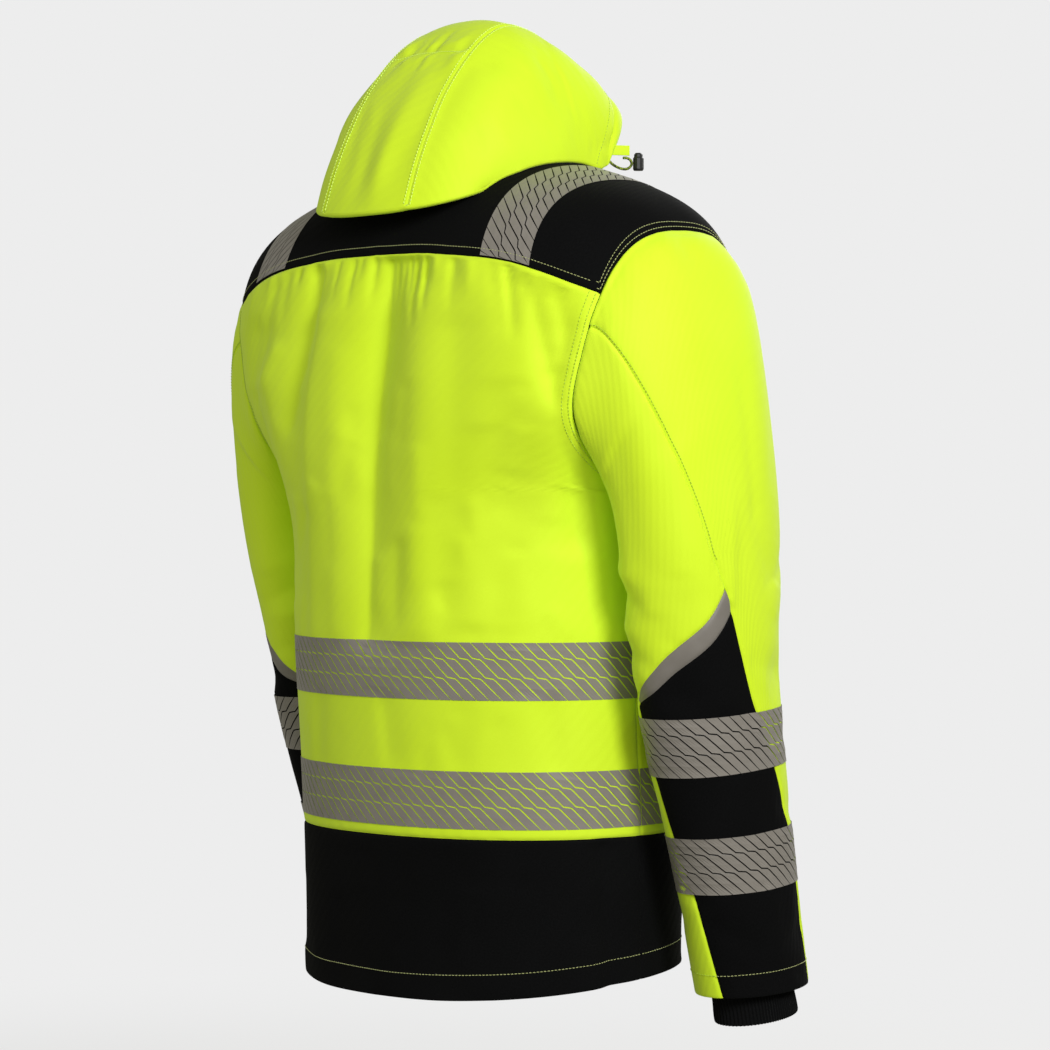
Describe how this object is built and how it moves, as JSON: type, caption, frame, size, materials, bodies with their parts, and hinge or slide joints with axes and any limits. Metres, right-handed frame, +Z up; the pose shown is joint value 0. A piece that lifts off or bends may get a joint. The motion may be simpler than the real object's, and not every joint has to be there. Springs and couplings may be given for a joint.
{
  "type": "hi-vis work jacket",
  "caption": "Hooded hi-vis work jacket in worn shape: yellow body and sleeves, black yoke, hem and forearms, reflective tapes, front zip, rib cuffs.",
  "frame": {"origin": "base of the neck, in the middle plane, where a wearer's shoulders carry the jacket", "axes": "+Z up, -Y to the front of the jacket, +X to the wearer's left"},
  "size_m": [0.5882, 0.3175, 0.8918],
  "materials": {
    "yellow": "fluorescent yellow twill, soft sheen",
    "black": "black twill, matt",
    "reflective": "grey retroreflective film in segments",
    "rib": "black rib knit",
    "zip_tape": "black zip with moulded teeth",
    "cord": "elastic cord, black with a yellow fleck",
    "plastic": "black plastic, satin"
  },
  "bodies": {
    "root": {"back_body": "yellow", "front_right": "yellow", "front_left": "yellow", "hood_centre": "yellow", "hood_side_right": "yellow", "hood_side_left": "yellow", "cord_tab_right": "yellow", "cord_tab_left": "yellow", "sleeve_outer_right": "yellow", "sleeve_outer_left": "yellow", "sleeve_under_right": "yellow", "sleeve_under_left": "yellow", "sleeve_back_right": "yellow", "sleeve_back_left": "yellow", "yoke": "black", "collar": "black", "lower_back": "black", "lower_front_right": "black", "lower_front_left": "black", "forearm_right": "black", "forearm_left": "black", "tape_upper_back": "reflective", "tape_lower_back": "reflective", "tape_upper_front_right": "reflective", "tape_upper_front_left": "reflective", "tape_lower_front_right": "reflective", "tape_lower_front_left": "reflective", "shoulder_tape_right": "reflective", "shoulder_tape_left": "reflective", "sleeve_tape_upper_right": "reflective", "sleeve_tape_upper_left": "reflective", "sleeve_tape_lower_right": "reflective", "sleeve_tape_lower_left": "reflective", "sleeve_insert_right": "reflective", "sleeve_insert_left": "reflective", "cuff_right": "rib", "cuff_left": "rib", "zip": "zip_tape", "zip_puller": "zip_tape", "hood_cord_right": "cord", "hood_cord_left": "cord", "cord_lock_right": "plastic", "cord_lock_left": "plastic", "zip_slider": "plastic"}
  },
  "joints": []
}
